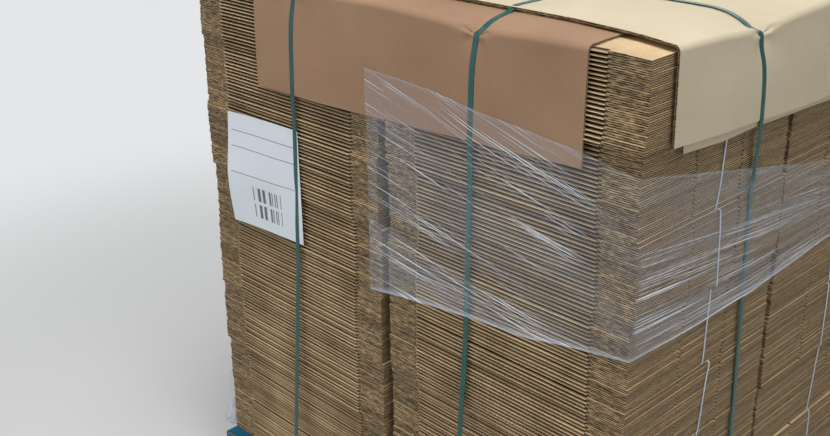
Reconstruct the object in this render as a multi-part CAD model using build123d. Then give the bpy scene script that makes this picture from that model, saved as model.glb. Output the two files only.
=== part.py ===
from build123d import *
import os

os.makedirs("parts", exist_ok=True)

# The frame: X along the load, Y across it, Z up, with the origin on the floor
# under the middle of the pallet. All sizes are in mm.

# Wooden pallet with nine blocks, open to forks on all four sides.
pallet_length = 1200
pallet_width = 1000
deck_board_count = 7
deck_board_width = 100
stringer_width = 145
block_length = 145
block_width = 100
block_height = 78
board_thick = 22

# One carton, folded flat: two plies of corrugated board, one on the other.
carton_length = 305
carton_width = 160
carton_height = 425
ply_thick = 3.7
slot_width = 6
fold_bevel = 1.2
carton_gap = 0.3  # between two cartons of a bundle

# Tied bundles of cartons, stacked in columns.
cartons_in_bundle = 20
cartons_in_bottom_bundle = 15
layer_count = 8
layer_gap = 0.9  # holds the twine between two bundles
column_gap_x = 30
column_gap_y = 10
lean_reach = 3.0  # how far a layer is pushed out of line at most
layer_lean = ((0, 0), (2, -1), (-1, 2), (1, -3), (-3, 0), (2, 1), (-2, -2), (3, -1))

# Twine, pulled flat around each bundle; the loops of two layers lie side by side.
twine_width = 3
twine_thick = 0.6
twine_places = (8, 14, 8, 16, 10, 15, 7, 0)

# Bent cover sheets of single-wall board.
sheet_thick = 4.0
edge_sheet_ends = (108, 978)  # from the near end of the load
edge_sheet_drop = 225
edge_sheet_top = 230
top_sheet_length = 1200
top_sheet_drop = 175
top_sheet_margin = 75  # bare strip along both long sides
under_sheet_drop = 188
under_sheet_margin = 95
under_sheet_length = 1180
sheet_bend = 12

# Plastic strap.
strap_width = 12
strap_thick = 0.8
strap_gap = 0.5
cross_strap_places = ((352, 384), (852, 912))  # from the near end, at the load's top and at the floor
long_strap_place = (318, 408)  # from the near long side

# Stretch film: heights below the top of the load, upper edge then lower edge.
film_thick = 0.8
film_tail = 625  # along the long side, from the near end
film_at_tail = (125, 590)
film_at_near_corner = (187, 507)
film_at_far_corner = (380, 470)
film_at_back_corner = (800, 930)
film_at_start = (1040, 1190)

# Paper sheet tucked under a strap.
label_width = 210
label_height = 265
label_top = 306  # below the top of the load
label_place = 857  # its near edge, from the near end of the load
label_thick = 0.5

clearance = 0.2

carton_thick = 2 * ply_thick
flat_length = carton_height + carton_width
flat_width = carton_length + carton_width
flap_length = carton_width / 2
deck_top = 3 * board_thick + block_height
stringer_bottom = board_thick + block_height
load_length = 2 * flat_length + column_gap_x
load_width = 2 * flat_width + column_gap_y
near_x = load_length / 2
near_y = -load_width / 2
pitch = carton_thick + carton_gap
bundle_counts = [cartons_in_bottom_bundle] + [cartons_in_bundle] * (layer_count - 1)
bundle_heights = [count * pitch - carton_gap for count in bundle_counts]
layer_bottoms = [
    deck_top + layer_gap + sum(bundle_heights[:layer]) + layer * layer_gap
    for layer in range(layer_count)
]
load_top = layer_bottoms[-1] + bundle_heights[-1]

# What lies on the load, from the outermost carton outwards.
face_x = near_x + lean_reach
face_y = -near_y + lean_reach
over_twine = face_x + twine_thick + 2 * clearance
label_out = face_y + clearance + label_thick
over_label = label_out + clearance
edge_sheet_in = face_y + clearance
edge_sheet_out = edge_sheet_in + sheet_thick
under_sheet_out = over_twine + sheet_thick
top_sheet_out = under_sheet_out + clearance + sheet_thick
edge_sheet_level = load_top + clearance + twine_thick + clearance
under_sheet_level = edge_sheet_level + sheet_thick + clearance
top_sheet_level = under_sheet_level + sheet_thick + clearance
over_sheets = top_sheet_level + sheet_thick + strap_gap


def save(pieces, name):
    whole = Compound(children=list(pieces)) if len(pieces) > 1 else pieces[0]
    export_step(whole, f"parts/{name}.step")


def brick(x, y, z):
    """A box from its low and high edge along each axis."""
    size = (x[1] - x[0], y[1] - y[0], z[1] - z[0])
    return Pos(x[0], y[0], z[0]) * Box(*size, align=(Align.MIN, Align.MIN, Align.MIN))


def spread(count, low, high, width):
    """Middles of pieces of one width, set evenly from edge to edge."""
    step = (high - low - width) / (count - 1)
    return [low + width / 2 + index * step for index in range(count)]


def outline(points):
    return make_face(Polyline(*points, close=True))


def pallet():
    half_x, half_y = pallet_length / 2, pallet_width / 2
    deck_rows = spread(deck_board_count, -half_y, half_y, deck_board_width)
    stringer_rows = spread(3, -half_x, half_x, stringer_width)
    block_columns = spread(3, -half_x, half_x, block_length)
    block_rows = spread(3, -half_y, half_y, block_width)
    long_run = (-half_x, half_x)
    cross_run = (-half_y, half_y)

    def about(middle, width):
        return (middle - width / 2, middle + width / 2)

    deck_z = (deck_top - board_thick, deck_top)
    stringer_z = (stringer_bottom, stringer_bottom + board_thick)
    block_z = (board_thick, stringer_bottom)
    save([brick(long_run, about(y, deck_board_width), deck_z) for y in deck_rows], "pallet_deck_boards")
    save([brick(about(x, stringer_width), cross_run, stringer_z) for x in stringer_rows], "pallet_stringer_boards")
    blocks = [
        brick(about(x, block_length), about(y, block_width), block_z)
        for x in block_columns
        for y in block_rows
    ]
    save(blocks, "pallet_blocks")
    save([brick(long_run, about(y, block_width), (0, board_thick)) for y in block_rows], "pallet_bottom_boards")


def carton():
    """A flat carton: folds along both sides, cut flaps with slots at both ends."""
    half_y, bevel = flat_width / 2, fold_bevel
    section = Plane.YZ * outline([
        (-half_y, bevel),
        (-half_y + bevel, 0),
        (half_y - bevel, 0),
        (half_y, bevel),
        (half_y, carton_thick - bevel),
        (half_y - bevel, carton_thick),
        (-half_y + bevel, carton_thick),
        (-half_y, carton_thick - bevel),
    ])
    body = extrude(section, carton_height / 2, both=True)
    flap_half = half_y - slot_width / 2
    body += brick((-flat_length / 2, flat_length / 2), (-flap_half, flap_half), (0, carton_thick))
    slot_places = ((carton_width - half_y, 0), (carton_length - half_y, ply_thick))
    for side in (-1, 1):
        slot_x = sorted((side * flat_length / 2, side * (flat_length / 2 - flap_length)))
        for y, z in slot_places:
            slot_y = (y - slot_width / 2, y + slot_width / 2)
            body -= brick(slot_x, slot_y, (z, z + ply_thick))
    return body.solid()


def column_middle(column, row):
    """Middle of a column of bundles: column 1 is at the near end, row 0 along the near long side."""
    x = (column - 0.5) * (flat_length + column_gap_x)
    y = (row - 0.5) * (flat_width + column_gap_y)
    return x, y


def layer_middle(column, row, layer):
    """The columns share one list of pushes, each starting it at another layer."""
    x, y = column_middle(column, row)
    shift = 0 if (column, row) == (1, 0) else 2 * column + 3 * row + 1
    lean_x, lean_y = layer_lean[(layer + shift) % layer_count]
    return x + lean_x, y + lean_y


def bundles():
    upright = carton()
    turned = Rot(0, 0, 180) * upright
    for column in range(2):
        for row in range(2):
            for layer in range(layer_count):
                x, y = layer_middle(column, row, layer)
                shape = turned if (layer + column + row) % 2 else upright
                bottom = layer_bottoms[layer]
                pieces = [Pos(x, y, bottom + index * pitch) * shape for index in range(bundle_counts[layer])]
                save(pieces, f"cartons_{'left' if column == 0 else 'right'}_{'front' if row == 0 else 'back'}_{layer + 1}")


def loop(width, height, thick):
    """A flat closed band standing in the XZ plane, with its hollow of that width and height."""
    inner = Plane.XZ * RectangleRounded(width, height, thick)
    outer = Plane.XZ * RectangleRounded(width + 2 * thick, height + 2 * thick, 2 * thick)
    return extrude(outer - inner, twine_width / 2, both=True)


def twine():
    slack = (layer_gap - twine_thick) / 2
    for column in range(2):
        for row in range(2):
            loops = []
            for layer in range(layer_count):
                x = layer_middle(column, row, layer)[0]
                y = column_middle(column, row)[1]
                height = bundle_heights[layer]
                band = loop(flat_length + 2 * slack, height + 2 * slack, twine_thick)
                middle = layer_bottoms[layer] + height / 2
                loops.append((Pos(x, y + twine_places[layer], middle) * band).solid())
            save(loops, f"twine_{'left' if column == 0 else 'right'}_{'front' if row == 0 else 'back'}")


def bent_sheet(inner, level, reach, drop):
    """Section of a sheet bent over an edge: flat from reach to the edge, then down."""
    shape = outline([
        (reach, level),
        (inner, level),
        (inner, load_top - drop),
        (inner + sheet_thick, load_top - drop),
        (inner + sheet_thick, level + sheet_thick),
        (reach, level + sheet_thick),
    ])
    corner = shape.vertices().sort_by(lambda v: v.X + v.Y)[-1]
    return fillet(corner, sheet_bend)


def cover_sheets():
    edge = bent_sheet(edge_sheet_in, edge_sheet_level, -near_y - edge_sheet_top, edge_sheet_drop)
    edge = Plane.YZ * mirror(edge, Plane.YZ)
    edge_x = [near_x - place for place in edge_sheet_ends]
    save([(Pos(edge_x[1], 0, 0) * extrude(edge, edge_x[0] - edge_x[1])).solid()], "edge_cover_sheet")
    wide = load_width - 2 * under_sheet_margin
    flat = under_sheet_length - under_sheet_drop
    section = Plane.XZ * bent_sheet(over_twine, under_sheet_level, near_x - flat, under_sheet_drop)
    save([extrude(section, wide / 2, both=True).solid()], "under_cover_sheet")
    wide = load_width - 2 * top_sheet_margin
    flat = top_sheet_length - top_sheet_drop
    section = Plane.XZ * bent_sheet(under_sheet_out + clearance, top_sheet_level, near_x - flat, top_sheet_drop)
    save([extrude(section, wide / 2, both=True).solid()], "top_cover_sheet")


def save_strap(name, top, bottom, across, corners):
    """A closed band in a slanted plane that holds the top and bottom points.

    The corners of its hollow are (place along the flat direction, height)."""
    up = (Vector(*top) - Vector(*bottom)).normalized()
    plane = Plane(origin=top, x_dir=across, z_dir=Vector(*across).cross(up))
    hollow = outline([(place, (height - top[2]) / up.Z) for place, height in corners])
    band = plane * (offset(hollow, strap_thick, kind=Kind.ARC) - hollow)
    save([extrude(band, strap_width / 2, both=True).solid()], name)


def straps():
    # Across the load: over the sheets, down both long sides and under the deck.
    pallet_y = max(pallet_width / 2, over_label) + strap_gap
    under_deck = deck_top - board_thick - strap_gap
    sheet_side = edge_sheet_out + strap_gap
    sheet_foot = load_top - edge_sheet_drop
    back_fall = film_at_back_corner[1] - film_at_far_corner[1]
    for places, name in zip(cross_strap_places, ("strap_across_right", "strap_across_left")):
        front_free = load_top - film_at_tail[1]
        back_free = load_top - film_at_far_corner[1] - back_fall * max(places) / load_length - strap_width
        corners = [
            (-sheet_side, over_sheets),
            (-sheet_side, sheet_foot - strap_gap),
            (-over_label, sheet_foot - 5 * sheet_thick),
            (-over_label, front_free),
            (-pallet_y, deck_top),
            (-pallet_y, under_deck),
            (pallet_y, under_deck),
            (pallet_y, deck_top),
            (over_label, back_free),
            (over_label, load_top + strap_gap),
            (-near_y - top_sheet_margin + strap_gap, over_sheets),
        ]
        ends = [(near_x - place, 0, height) for place, height in zip(places, (load_top, 0))]
        save_strap(name, *ends, (0, 1, 0), corners)
    # Along the load: over the cross straps, down both ends and under the stringer boards.
    above = over_sheets + strap_thick + 2 * strap_gap
    under = stringer_bottom - strap_gap
    end_x = max(pallet_length / 2 + clearance, over_twine)
    sheet_end = near_x - top_sheet_length + top_sheet_drop
    corners = [
        (top_sheet_out + strap_gap, above),
        (top_sheet_out + strap_gap, load_top - top_sheet_drop - strap_gap),
        (end_x, load_top - under_sheet_drop - 5 * sheet_thick),
        (end_x, under),
        (-end_x, under),
        (-end_x, load_top + strap_gap),
        (sheet_end - strap_gap, above),
    ]
    top_y, foot_y = (near_y + place for place in long_strap_place)
    foot_y = min(foot_y, -block_width / 2 - 2 * strap_width)  # clear of the middle blocks
    save_strap("strap_along", (0, top_y, load_top), (0, foot_y, 0), (1, 0, 0), corners)


def film():
    """Four upright panels, one on each side of the load, joined at the corners."""
    x = over_twine + strap_thick + clearance
    y = edge_sheet_out + strap_gap + strap_thick + clearance
    out_x, out_y = x + film_thick, y + film_thick
    tail_x = near_x - film_tail

    def panel(first, second, heights_first, heights_second):
        return outline([
            (first, load_top - heights_first[0]),
            (second, load_top - heights_second[0]),
            (second, load_top - heights_second[1]),
            (first, load_top - heights_first[1]),
        ])

    front = Plane.XZ.offset(y) * panel(out_x, tail_x, film_at_near_corner, film_at_tail)
    near = Plane.YZ.offset(x) * panel(-out_y, out_y, film_at_near_corner, film_at_far_corner)
    back = Plane.XZ.offset(-out_y) * panel(out_x, -out_x, film_at_far_corner, film_at_back_corner)
    left = Plane.YZ.offset(-out_x) * panel(out_y, near_y, film_at_back_corner, film_at_start)
    body = extrude(front, film_thick)
    for face in (near, back, left):
        body += extrude(face, film_thick)
    save([body.solid()], "stretch_film")


def label():
    x = near_x - label_place
    z = load_top - label_top
    sheet = brick((x - label_width, x), (-label_out, -face_y - clearance), (z - label_height, z))
    save([sheet.solid()], "paper_label")


pallet()
bundles()
twine()
cover_sheets()
straps()
film()
label()
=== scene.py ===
import math
import random

import bmesh
import bpy
import numpy as np
from mathutils import Matrix, Vector, noise


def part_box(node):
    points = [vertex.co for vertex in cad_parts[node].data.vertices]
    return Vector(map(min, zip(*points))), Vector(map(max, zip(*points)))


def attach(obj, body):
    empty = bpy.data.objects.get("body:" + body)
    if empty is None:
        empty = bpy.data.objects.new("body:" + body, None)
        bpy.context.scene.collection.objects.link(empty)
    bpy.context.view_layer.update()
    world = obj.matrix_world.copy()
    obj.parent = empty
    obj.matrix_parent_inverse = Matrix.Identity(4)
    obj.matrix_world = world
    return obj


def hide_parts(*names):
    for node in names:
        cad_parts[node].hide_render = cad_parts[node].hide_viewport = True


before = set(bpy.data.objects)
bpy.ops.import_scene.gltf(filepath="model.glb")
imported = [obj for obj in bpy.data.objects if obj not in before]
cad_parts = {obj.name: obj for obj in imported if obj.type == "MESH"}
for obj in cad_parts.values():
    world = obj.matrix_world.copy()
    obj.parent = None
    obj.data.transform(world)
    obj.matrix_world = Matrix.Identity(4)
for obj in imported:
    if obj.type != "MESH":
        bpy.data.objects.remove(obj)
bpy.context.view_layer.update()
print("frame loaded,", len(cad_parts), "nodes")

columns, rows, layerCount = ("left", "right"), ("front", "back"), 8
strapPlaces = {"across": (0.354, 0.856), "along": (0.322,)}  # from the near end, and from the near long side
random.seed(11)


def low(node):
    return Vector(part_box(node)[0])


def high(node):
    return Vector(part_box(node)[1])


loadTop = high("cartons_right_front_8").z
nearX = high("cartons_right_front_1").x
nearY = low("cartons_right_front_1").y
deckTop = high("pallet_deck_boards").z


def fromEnd(place):  # x of a place measured from the near end of the load
    return nearX - place


def fromSide(place):  # y of a place measured from the near long side
    return nearY + place


def steps(start, stop, count):
    return [start + (stop - start) * step / count for step in range(count + 1)]


def between(table, place, column=1):  # a value read off rows that start with a place
    return float(np.interp(place, [row[0] for row in table], [row[column] for row in table]))


def rgb(*screen):  # a colour as it shows on screen, 0 to 255, made linear for a shader
    shares = [value / 255 for value in screen]
    return (*(each / 12.92 if each <= 0.04045 else ((each + 0.055) / 1.055) ** 2.4 for each in shares), 1.0)


def addObject(name, data):
    thing = bpy.data.objects.new(name, data)
    bpy.context.scene.collection.objects.link(thing)
    return thing


# The tree that new nodes go to, and how they are laid out in it.
building = {"tree": None, "across": 180, "down": 200, "perRow": 9}


def startTree(tree):
    building["tree"] = tree
    tree.nodes.clear()
    return tree


def add(kind, inputs=None, **settings):  # each input is a socket to link, or what to set it to
    tree = building["tree"]
    row, place = divmod(len(tree.nodes), building["perRow"])
    node = tree.nodes.new(kind)
    node.location = (building["across"] * place, -building["down"] * row)
    for name, value in settings.items():
        setattr(node, name, value)
    for key, value in (inputs or {}).items():
        if isinstance(value, bpy.types.NodeSocket):
            tree.links.new(value, node.inputs[key])
        else:
            node.inputs[key].default_value = value
    return node


def result(kind, inputs=None, output=0, **settings):  # one output of a new node
    return add(kind, inputs, **settings).outputs[output]


def newMaterial(name):
    material = bpy.data.materials.new(name)
    material.use_nodes = True
    startTree(material.node_tree)
    return material


def finished(material, colour, roughness, specular=0.5, **others):  # the material with its shader
    inputs = {"Base Color": colour, "Roughness": roughness, "Specular IOR Level": specular, **others}
    add("ShaderNodeOutputMaterial", {0: result("ShaderNodeBsdfPrincipled", inputs)})
    return material


def calc(operation, *values):  # a third value and more are taken one after the other
    value = result("ShaderNodeMath", dict(enumerate(values[:2])), operation=operation)
    return calc(operation, value, *values[2:]) if values[2:] else value


def mixColour(factor, first, second):
    return result("ShaderNodeMix", {0: factor, 6: first, 7: second}, 2, data_type="RGBA")


def spread(value, start, stop, first=0.0, last=1.0, smooth=False):
    return result("ShaderNodeMapRange", dict(enumerate((value, start, stop, first, last))),
                  interpolation_type="SMOOTHSTEP" if smooth else "LINEAR")


def cloud(vector, scale, detail=2.0, output=0):  # scale is one number, or one for each direction
    if isinstance(scale, tuple):
        vector, scale = result("ShaderNodeMapping", {"Vector": vector, "Scale": scale}), 1.0
    return result("ShaderNodeTexNoise", {"Vector": vector, "Scale": scale, "Detail": detail}, output)


def shade(colour, amount):  # the same colour, made lighter or darker by a number
    colour = colour[:3] if isinstance(colour, tuple) else colour
    return result("ShaderNodeVectorMath", {0: colour, "Scale": amount}, operation="SCALE")


def relief(height, strength, distance):
    return result("ShaderNodeBump", {"Height": height, "Strength": strength, "Distance": distance})


def attribute(name, output="Fac"):
    return result("ShaderNodeAttribute", None, output, attribute_name=name)


def coordinates(kind="Object"):
    return result("ShaderNodeTexCoord", None, kind)


def splitVector(vector):
    return add("ShaderNodeSeparateXYZ", {0: vector}).outputs


# Faces are gathered with how their board was cut and with a flat place for patterns. The two smallest marks
# are painted shade: the full one for the grooves between the folds and the crushed scores at the slots, about
# half of it for the sides of the folds and the ends of the body.
plain, halfGrooveShade, grooveShade, sideCut, endCut = 0.0, 0.075, 0.15, 0.5, 1.0


def newParts():
    return {"points": [], "faces": [], "cuts": [], "flat": []}


def addFace(parts, corners, cut=plain, flat=None):
    parts["faces"].append(tuple(corners))
    parts["cuts"].append(cut)
    parts["flat"].extend(flat or [(0.0, 0.0)] * len(corners))


def addGrid(parts, grid, flat=None, cut=plain, closed=False, turned=False):
    # grid is rows of points. flat has each point's flat place, row by row, and one more where it closes.
    first, width = len(parts["points"]), len(grid[0])
    cuts = cut if isinstance(cut, list) else [cut] * width
    for row in grid:
        parts["points"].extend(row)
    for row in range(len(grid) - 1):
        for column in range(width if closed else width - 1):
            corners = [(row, column), (row, column + 1), (row + 1, column + 1), (row + 1, column)]
            if turned:
                corners.reverse()
            addFace(parts, [first + r * width + c % width for r, c in corners], cuts[column],
                    [flat[r][c] for r, c in corners] if flat else None)


def edgeFlat(places):  # flat places of a cut edge: how far along it, and 0 to 1 through the board
    return [[(place, through) for place in places] for through in (0, 1)]


def addBox(parts, xs, ys, zs, cuts):
    # A box with cuts along x and y. cuts maps a side, such as "x1" for its high end in x, to how it was cut.
    for z, turned in ((zs[1], False), (zs[0], True)):
        addGrid(parts, [[(x, y, z) for x in xs] for y in ys], turned=turned)
    for side, turned in (("x1", False), ("x0", True), ("y1", True), ("y0", False)):
        places, fixed = (ys, xs) if side[0] == "x" else (xs, ys)
        end = fixed[-1 if side[1] == "1" else 0]
        grid = [[(end, place, z) if side[0] == "x" else (place, end, z) for place in places] for z in zs]
        addGrid(parts, grid, edgeFlat(places), cuts.get(side, plain), turned=turned)


def storeValues(mesh, name, values, domain="POINT"):
    mesh.attributes.new(name, "FLOAT", domain).data.foreach_set("value", values)


def meshFrom(parts, name, smooth=False, merge=0.00002):
    mesh = bpy.data.meshes.new(name)
    mesh.from_pydata([tuple(point) for point in parts["points"]], [], parts["faces"])
    storeValues(mesh, "cut", parts["cuts"], "FACE")
    mesh.uv_layers.new(name="flat").uv.foreach_set("vector", np.array(parts["flat"], np.float32).ravel())
    mesh.polygons.foreach_set("use_smooth", [smooth] * len(mesh.polygons))
    if merge:
        shell = bmesh.new()
        shell.from_mesh(mesh)
        bmesh.ops.remove_doubles(shell, verts=shell.verts, dist=merge)
        shell.to_mesh(mesh)
        shell.free()
    mesh.update()
    return mesh


def surfaceMesh(name, rows, **options):  # rows of pairs, each a point and its flat place
    parts = newParts()
    addGrid(parts, *([[pair[part] for pair in row] for row in rows] for part in (0, 1)), **options)
    return meshFrom(parts, name, smooth=True, merge=0)


def addPiece(name, mesh, material, slotName, *nodes):
    piece = addObject(name, mesh)
    if not mesh.materials:
        mesh.materials.append(material)
    if nodes:
        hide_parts(*nodes)
    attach(piece, "root")
    return piece


def newTree(name, sockets):
    tree = startTree(bpy.data.node_groups.new(name, "GeometryNodeTree"))
    tree.interface.new_socket("Geometry", in_out="OUTPUT", socket_type="NodeSocketGeometry")
    for socketName, kind in sockets.items():
        tree.interface.new_socket(socketName, in_out="INPUT", socket_type="NodeSocket" + kind)
    return {socket.name: socket for socket in add("NodeGroupInput").outputs}


def endTree(geometry, material):
    real = result("GeometryNodeRealizeInstances", {0: geometry})
    painted = result("GeometryNodeSetMaterial", {0: real, "Material": material})
    add("NodeGroupOutput", {0: painted})
    return building["tree"]


def runTree(name, tree, values):  # the plain mesh that a node tree makes with these values
    holder = addObject(name, bpy.data.meshes.new(name))
    modifier = holder.modifiers.new(name, "NODES")
    modifier.node_group = tree
    sockets = {item.name: item.identifier for item in tree.interface.items_tree if item.in_out == "INPUT"}
    for key, value in values.items():
        modifier[sockets[key]] = value
    holder.update_tag()
    graph = bpy.context.evaluated_depsgraph_get()
    mesh = bpy.data.meshes.new_from_object(holder.evaluated_get(graph), depsgraph=graph)
    mesh.name = name
    bpy.data.objects.remove(holder)
    return mesh


# How the load gives under its straps.
give = {
    "everywhere": 0.001,  # how far the top edges sag, and how far inwards
    "edgeReach": 0.03,
    "underAcross": 0.014,  # how deep the straps across and the strap along bite
    "underAlong": 0.021,
    "strapReach": 0.13,  # how far along the edge a strap is felt, then inwards and downwards
    "inwards": 0.055,
    "downwards": 0.065,
    "pullIn": 0.40,  # inward movement as a share of the sag
    "underStrap": 0.0075,  # what lies under a strap stays flat this far from its middle
    "pinch": 0.007,  # the sharp notch right under a strap
    "pinchReach": (0.012, 0.02),  # along the edge and inwards
    "underSheets": 0.009,  # how much more the cartons give, so that the bent sheets lie over them
    "underSheetsReach": (0.04, 0.03),
}


def settle(points, extra=0.0):
    # The top edges of the load sag, most under the straps, and whatever lies there goes with them.
    points = np.array(points, dtype=float)
    moved = points.copy()

    def bell(distance, reach):
        return np.exp(-(distance / reach) ** 2)

    def notch(reach):
        return bell(near, reach[0]) * bell(inside, reach[1])

    across = [(fromEnd(place), give["underAcross"]) for place in strapPlaces["across"]]
    along = [(fromSide(place), give["underAlong"]) for place in strapPlaces["along"]]
    fall = bell(np.clip(loadTop - points[:, 2], 0, None), give["downwards"])
    for axis, side, edge, straps in ((1, -1, -nearY, across), (1, 1, -nearY, across),
                                     (0, 1, nearX, along), (0, -1, nearX, along)):
        place = points[:, 1 - axis]
        inside = np.clip(edge - side * points[:, axis], 0, None)
        amount = give["everywhere"] * bell(inside, give["edgeReach"]) * fall
        for strapPlace, depth in straps:
            near = np.clip(np.abs(place - strapPlace) - give["underStrap"], 0, None)
            amount += (depth * np.exp(-near / give["strapReach"]) * bell(inside, give["inwards"])
                       + extra * notch(give["underSheetsReach"])) * fall
            amount += give["pinch"] * notch(give["pinchReach"]) * fall ** 4
        moved[:, axis] -= side * give["pullIn"] * amount
        moved[:, 2] -= amount
    return moved


def settleMesh(mesh, extra=0.0):
    points = np.empty(3 * len(mesh.vertices))
    mesh.vertices.foreach_get("co", points)
    mesh.vertices.foreach_set("co", settle(points.reshape(-1, 3), extra).ravel())
    mesh.update()


view = {
    "place": (1.4763, -1.7936, 1.7370),
    "turns": ((46.24, "Z"), (67.39, "X"), (-0.71, "Z")),  # degrees round each axis, the outermost first
    "lens": 46.75,
    "sensor": 36,
}


def makeCamera():
    data = bpy.data.cameras.new("camera")
    data.lens, data.sensor_width = view["lens"], view["sensor"]
    camera = addObject("camera", data)
    aimed = Matrix.Translation(view["place"])
    for degrees, axis in view["turns"]:
        aimed @= Matrix.Rotation(math.radians(degrees), 4, axis)
    camera.matrix_world = aimed
    bpy.context.scene.camera = camera


stage = {
    "floor": 9.0,
    "colour": rgb(214, 214, 212),
    "fade": (1.5, 3.4),  # the floor turns into the plain pale background between these distances
    "background": (0.78, 0.79, 0.80, 1),
    "lights": {  # place, aim, size, power
        "overhead": ((0.9, -0.9, 4.6), (0, 0, 1.0), 2.2, 135),
        "rightSide": ((4.2, -1.8, 2.4), (0, 0, 0.8), 2.6, 34),
        "leftSide": ((-2.4, -4.2, 2.2), (0, 0, 0.8), 3.0, 58),
        "behind": ((-1.5, 4.2, 3.4), (0, 0, 0.9), 2.6, 60),
    },
    "sky": (0.9, 0.93, 1.0, 1),
    "skyStrength": 0.30,
}


def paleForCamera(lit, far, paleKind, outputKind):
    # The camera sees the plain background where far is 1. The light on the load stays as it is.
    seen = calc("MULTIPLY", far, result("ShaderNodeLightPath", None, "Is Camera Ray"))
    pale = result(paleKind, {0: stage["background"]})
    add(outputKind, {0: result("ShaderNodeMixShader", {0: seen, 1: lit, 2: pale})})


def makeStage():
    size = stage["floor"]
    corners = [(-size, -size, 0), (size, -size, 0), (size, size, 0), (-size, size, 0)]
    mesh = bpy.data.meshes.new("floor")
    mesh.from_pydata(corners, [], [(0, 1, 2, 3)])
    floor = addObject("floor", mesh)
    material = newMaterial("paleFloor")
    lit = result("ShaderNodeBsdfPrincipled", {"Base Color": stage["colour"], "Roughness": 0.8})
    distance = result("ShaderNodeVectorMath", {0: coordinates()}, "Value", operation="LENGTH")
    far = spread(distance, *stage["fade"], smooth=True)
    paleForCamera(lit, far, "ShaderNodeEmission", "ShaderNodeOutputMaterial")
    mesh.materials.append(material)
    for name, (place, aim, size, power) in stage["lights"].items():
        data = bpy.data.lights.new(name, "AREA")
        data.energy, data.size = power, size
        lamp = addObject(name, data)
        lamp.location = place
        lamp.rotation_euler = (Vector(aim) - Vector(place)).to_track_quat("-Z", "Y").to_euler()
    world = bpy.data.worlds.new("studio")
    bpy.context.scene.world = world
    world.use_nodes = True
    startTree(world.node_tree)
    sky = result("ShaderNodeBackground", {0: stage["sky"], 1: stage["skyStrength"]})
    paleForCamera(sky, 1.0, "ShaderNodeBackground", "ShaderNodeOutputWorld")


bpy.context.scene.view_settings.view_transform = "Standard"
makeCamera()
makeStage()
print("camera, floor and lights made")


board = {
    "flute": 0.0070,  # from one wave of the fluting to the next
    "liner": rgb(210, 183, 143),
    "linerDark": rgb(174, 148, 111),
    "wave": rgb(194, 166, 124),
    # painted shade in the hollows of the fluting on the cut edges
    "hollow": rgb(30, 24, 19),
    # painted shade for the grooves between the folds
    "grooveShade": rgb(27, 20, 14),
    "mottle": 9,  # from here on how fine each pattern is
    "fibre": (240, 240, 720),
    "rough": 120,
    "tears": (110, 110, 760),
    # patches along the cut edges, lighter and darker: partly crushed fibres, partly painted highlight and
    # shade
    "frayAndShade": (45, 45, 290),
    # painted shade: groups of carton layers whose flaps sit back are darker on the side cuts
    "shadedLayers": (0.8, 0.8, 26),
}


def cutEdges(colour, light):
    # Over the cut edges of a board: two liners with the wave of the fluting between them, and painted shade
    # in the hollows.
    # The flat place gives the length along the edge and 0 to 1 through the board.
    coords, cut = coordinates(), attribute("cut")
    along, through = splitVector(coordinates("UV"))[:2]
    isCut = calc("GREATER_THAN", cut, (grooveShade + sideCut) / 2)
    isEnd = calc("GREATER_THAN", cut, (sideCut + endCut) / 2)

    def either(side, end):  # one value on side cuts and another on end cuts
        return spread(isEnd, 0.0, 1.0, side, end)

    def away(place):
        return calc("ABSOLUTE", calc("SUBTRACT", through, place))

    through = calc("ADD", through, spread(cloud(coords, board["rough"]), 0.25, 0.75, -0.08, 0.08))
    swing = calc("PINGPONG", along, board["flute"] / 2)
    crest = spread(swing, 0.0, board["flute"] / 2, 0.12, 0.88, smooth=True)
    onWave = spread(away(crest), 0.07, 0.17, 1.0, 0.0)
    onTorn = spread(cloud(coords, board["tears"], 3), 0.47, 0.62, 0.0, 0.75)
    onLiner = spread(away(0.5), either(0.24, 0.36), either(0.36, 0.43))
    solid = calc("MAXIMUM", either(onTorn, onWave), onLiner)
    # crushed fibres, and painted highlight and shade, in patches along the side and end cuts
    frayedAndShaded = spread(cloud(coords, board["frayAndShade"]), 0.37, 0.64, either(0.40, 0.80), 1.16)
    # painted shade on the side cuts: groups of layers darker where their flaps sit back
    layerShade = spread(cloud(coords, board["shadedLayers"], 1), 0.38, 0.56, 0.74, 1.0)
    shown = calc("MULTIPLY", light, frayedAndShaded, calc("MAXIMUM", layerShade, isEnd))
    # the hollows between the liners and the fluting are painted dark as shade
    edge = mixColour(solid, board["hollow"], shade(board["wave"], shown))
    # painted shade in the grooves between the folds, about half of it on the sides of the folds and the ends
    # of the body
    paintedGrooveShade = calc("MULTIPLY", calc("SUBTRACT", 1.0, isCut), spread(cut, 0.0, grooveShade, 0.0, 0.92))
    return mixColour(paintedGrooveShade, mixColour(isCut, colour, edge), board["grooveShade"])


def cartonMaterial():
    material = newMaterial("cartonBoard")
    coords = coordinates()
    tint = spread(splitVector(attribute("each", "Vector"))[0], 0.0, 1.0, 0.80, 1.14)
    mottled = spread(cloud(coords, board["mottle"], 3), 0.35, 0.7)
    colour = shade(mixColour(mottled, board["liner"], board["linerDark"]), tint)
    fibre = cloud(coords, board["fibre"], 4)
    colour = shade(colour, spread(fibre, 0.3, 0.7, 0.9, 1.08))
    return finished(material, cutEdges(colour, tint), 0.88, 0.25, Normal=relief(fibre, 0.3, 0.0005))


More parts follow.
